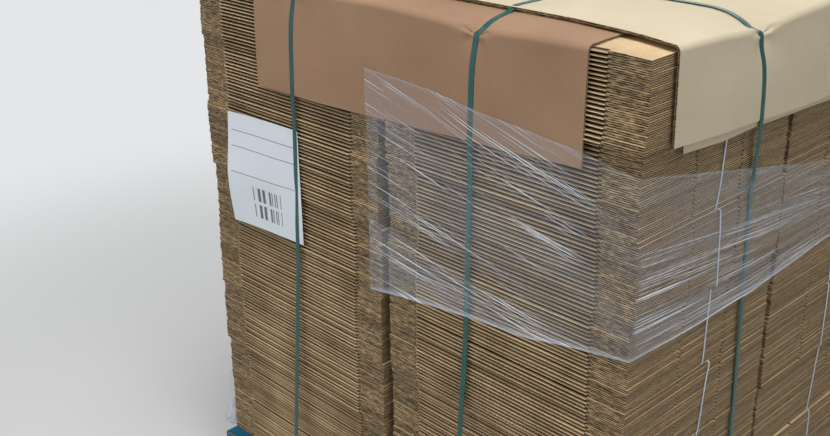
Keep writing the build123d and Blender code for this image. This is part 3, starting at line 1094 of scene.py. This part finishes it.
def makeFilm():
    rowsUp, width = film["rows"], film["flat"][0]
    toCorner = film["front"][-1][0] - film["corner"]
    pairs, rim, pull, length, before = [], [], [], 0.0, None
    for x, y, facing, upper, lower in filmRoute():
        length += math.hypot(x - before[0], y - before[1]) if before else 0.0
        before, past = (x, y), length - toCorner
        outward = Vector((math.cos(facing), math.sin(facing), 0))
        passed = between(film["newLines"], past) - film["drift"] * max(0.0, -past)
        strength = between(film["pullAlong"], past)
        loose = film["loose"] * math.exp(-(length / film["looseReach"]) ** 2)
        wavy = film["endWave"] * math.exp(-length / film["looseReach"])
        line = []
        for row in range(rowsUp + 1):
            share = row / rowsUp
            roll, dense, denseRows = film["lowEdge" if share < 0.5 else "highEdge"]
            edge = min(share, 1 - share) * rowsUp
            ruffle = noise.noise((length * 1.3, share * 34, 2.0))
            ruffle += 0.5 * noise.noise((length * 2.2, share * 80, 7.0))
            lift = film["pleat"] * (0.9 + ruffle) + loose * (0.7 + 0.6 * noise.noise((share * 7, 1, 4)))
            curl = max(0.0, 2 - edge) / 2 * math.pi
            spot = Vector((x, y, loadTop - lower + (lower - upper) * share))
            spot += outward * (lift + roll * (1 - math.cos(curl)))
            spot.x += wavy * noise.noise((share * 4, 9.0, 5.0))
            spot.z += roll * math.sin(curl) * (-1 if share > 0.5 else 1)
            wave = noise.noise((length * 9, 3.0 if share > 0.5 else 8.0, 0))
            spot.z += film["edgeWave"] * wave * (1 - min(1, edge / 8))
            line.append((tuple(spot), (length / film["stretch"], share * width + passed)))
            rim.append(dense * max(0.0, 1 - edge / denseRows))
            pull.append(strength * (between(film["pullUp"], share) if past > 0 else 1))
        pairs.append(line)
    mesh = surfaceMesh("wrappedFilm", pairs, turned=True)
    storeValues(mesh, "rim", rim)
    storeValues(mesh, "pull", pull)
    piece = addPiece("wrappedFilm", mesh, filmMaterial(), "film", "stretch_film")
    tail = addPiece("filmBunch", bunchMesh(), piece.data.materials[0], "film")
    print("film wrapped, about", round(length, 2), "m")


makeFilm()


label = {
    "flat": (0.240, 0.265),
    # corners from the near end of the load and down from its top, lower then upper
    "right": ((0.857, 0.569), (0.858, 0.306)),
    "left": ((1.096, 0.572), (1.097, 0.309)),
    "off": 0.0003,
    "bulge": 0.005,
    "curl": 0.012,
    "fold": 0.007,  # how far the fold across its middle stands off
    "foldAt": 0.47,
    "ripple": 0.0007,
    "rows": 30,
    "columns": 26,
    "paper": rgb(214, 221, 227),
    "ink": rgb(52, 54, 60),
    "inkCover": 0.85,
    "rules": (0.84, 0.70, 0.47),
    "ruleWidth": 0.006,
    "margin": 0.05,
    "bars": ((0.10, 0.225), (0.255, 0.38)),  # heights of the rows of bars
    "barsAcross": (0.27, 0.72),
    "barCount": 76,
    "barGaps": 0.48,
}


def labelMaterial():
    material = newMaterial("labelPaper")
    along, across = splitVector(coordinates("UV"))[:2]

    def inside(xs, ys):
        tests = [calc(kind, value, limit) for value, limits in ((along, xs), (across, ys))
                 for kind, limit in zip(("GREATER_THAN", "LESS_THAN"), limits)]
        return calc("MULTIPLY", *tests)

    strip = calc("FLOOR", calc("MULTIPLY", along, label["barCount"]))
    chance = result("ShaderNodeTexWhiteNoise", {"W": strip}, noise_dimensions="1D")
    dark = calc("GREATER_THAN", chance, label["barGaps"])
    marks = [calc("MULTIPLY", dark, inside(label["barsAcross"], ys)) for ys in label["bars"]]
    rule = (label["margin"], 1 - label["margin"])
    marks += [inside(rule, (y, y + label["ruleWidth"])) for y in label["rules"]]
    ink = calc("MULTIPLY", calc("MAXIMUM", *marks), label["inkCover"])
    return finished(material, mixColour(ink, label["paper"], label["ink"]), 0.62)


def makeLabel():
    y = low("paper_label").y + label["off"]

    def spot(u, v):  # u runs from the strap to the free edge
        left, right = ([first + (last - first) * v for first, last in zip(*label[side])]
                       for side in ("left", "right"))
        place, down = (first + (last - first) * u for first, last in zip(right, left))
        held = min(1.0, u * 3)
        lift = label["curl"] * max(0.0, u - 0.12) ** 2.1 * (1.15 + 0.3 * math.sin(4.2 * v + 0.7))
        lift += label["ripple"] * (1 + math.sin(9 * v + 5 * u)) * held
        lift += label["fold"] * (1 - abs(v - label["foldAt"]) / (1 - label["foldAt"])) * held
        bulge = label["bulge"] * math.sin(math.pi * v) * u ** 2
        return (fromEnd(place + bulge), y - lift, loadTop - down), (1 - u, v)

    across, up = steps(0, 1, label["columns"]), steps(0, 1, label["rows"])
    mesh = surfaceMesh("labelSheet", [[spot(u, v) for u in across] for v in up], turned=True)
    piece = addPiece("labelSheet", mesh, labelMaterial(), "paper", "paper_label")
    print("label placed")


makeLabel()


pallet = {
    "nodes": ("pallet_deck_boards", "pallet_stringer_boards", "pallet_blocks", "pallet_bottom_boards"),
    "paint": rgb(12, 98, 132),
    "paintDark": rgb(7, 76, 106),
    "bare": rgb(146, 122, 92),
    "dirt": rgb(72, 78, 80),
    "edge": 0.0022,  # how far the sawn edges are taken off
    "wander": 0.0009,
    "chips": 0.030,
    "chipsFrom": 0.40,  # fewer chips when this is higher
    "step": 0.016,
    "worn": 1.0,  # marks the strips where the paint wears off
    "endGrain": 0.5,
}


def woodMaterial():
    material = newMaterial("bluePaintedWood")
    flat, coords = coordinates("UV"), coordinates()
    grain = cloud(flat, (6, 150, 1), 5)
    figure = spread(cloud(flat, (1.5, 26, 1), 3), 0.35, 0.68)
    colour = mixColour(figure, pallet["paint"], pallet["paintDark"])
    colour = shade(colour, spread(grain, 0.3, 0.7, 0.82, 1.12))
    patches = spread(cloud(coords, 11, 5), 0.60, 0.68)
    scuffed = calc("MULTIPLY", patches, spread(grain, 0.42, 0.55), 0.7)
    edges = calc("MULTIPLY", attribute("cut"), spread(cloud(coords, 26, 4), 0.42, 0.56))
    isBare = calc("MULTIPLY", calc("MAXIMUM", scuffed, edges), 0.85)
    colour = mixColour(isBare, colour, shade(pallet["bare"], spread(grain, 0.3, 0.7, 0.7, 1.1)))
    dirty = spread(cloud(coords, 6, 4), 0.50, 0.75, 0.0, 0.35)
    colour = mixColour(dirty, colour, pallet["dirt"])
    return finished(material, colour, 0.6, 0.35, Normal=relief(grain, 0.4, 0.0008))


def boxesOf(name):  # the box of each separate board in a CAD node
    shell = bmesh.new()
    shell.from_mesh(bpy.data.objects[name].data)
    bmesh.ops.remove_doubles(shell, verts=shell.verts, dist=0.00005)
    left, boxes = set(shell.verts), []
    while left:
        front, found = [left.pop()], []
        while front:
            vert = front.pop()
            found.append(vert.co.copy())
            for other in (edge.other_vert(vert) for edge in vert.link_edges):
                if other in left:
                    left.remove(other)
                    front.append(other)
        boxes.append([Vector([pick(point[axis] for point in found) for axis in range(3)])
                      for pick in (min, max)])
    shell.free()
    return sorted(boxes, key=lambda box: tuple(round(value, 4) for value in box[0]))


def addBoard(parts, lowest, highest, number):
    # A sawn board that fills its box. Its edges are taken off, uneven and chipped here and there.
    size, middle = highest - lowest, (lowest + highest) / 2
    axis = max(range(3), key=lambda each: size[each])
    across, upward = (axis + 1) % 3, (axis + 2) % 3
    length, taken = size[axis], pallet["edge"]
    around = [0, taken, size[across], size[across] + taken]
    around += [around[-1] + size[upward] + place for place in around] + [2 * (size[across] + size[upward])]
    grid, flat = [], []
    for place in [0.0] + steps(taken, length - taken, round(length / pallet["step"])) + [length]:
        back = taken if place in (0.0, length) else 0.0
        reach, rise = size[across] / 2 - back, size[upward] / 2 - back
        ring = []
        for corner, (right, top) in enumerate(((1, 1), (-1, 1), (-1, -1), (1, -1))):
            deep = noise.noise((place * 19, corner * 7.7, number * 2.3)) - pallet["chipsFrom"]
            wander = pallet["wander"] * (1 + noise.noise((place * 5, corner * 3.1, number * 5.7)))
            off = taken + wander + max(0.0, deep) * pallet["chips"]
            pair = [(right * reach, top * (rise - off)), (right * (reach - off), top * rise)]
            for sideways, up in pair if corner % 2 == 0 else reversed(pair):
                point = Vector(middle)
                point[axis] = lowest[axis] + place
                point[across] += sideways
                point[upward] += up
                ring.append(tuple(point))
        grid.append(ring)
        flat.append([(place + 3.7 * number, turn + 0.31 * number) for turn in around])
    firstPoint, firstFace = len(parts["points"]), len(parts["faces"])
    addGrid(parts, grid, flat, [pallet["worn"], plain] * 4, closed=True)
    for taper in (slice(firstFace, firstFace + 8), slice(-8, None)):  # the strips next to both ends
        parts["cuts"][taper] = [pallet["worn"]] * 8
    lastPoint = len(parts["points"])
    for corners in (list(range(firstPoint, firstPoint + 8))[::-1], list(range(lastPoint - 8, lastPoint))):
        spots = [parts["points"][each] for each in corners]
        addFace(parts, corners, pallet["endGrain"], [(spot[across] * 9, spot[upward]) for spot in spots])


def makePallet():
    material, number = woodMaterial(), 0
    for name in pallet["nodes"]:
        parts = newParts()
        for number, (lowest, highest) in enumerate(boxesOf(name), number + 1):
            addBoard(parts, lowest, highest, number)
        addPiece(name + "_worn", meshFrom(parts, name + "_worn", merge=0), material, "painted_wood", name)
    print("pallet made of", number, "boards and blocks")


makePallet()
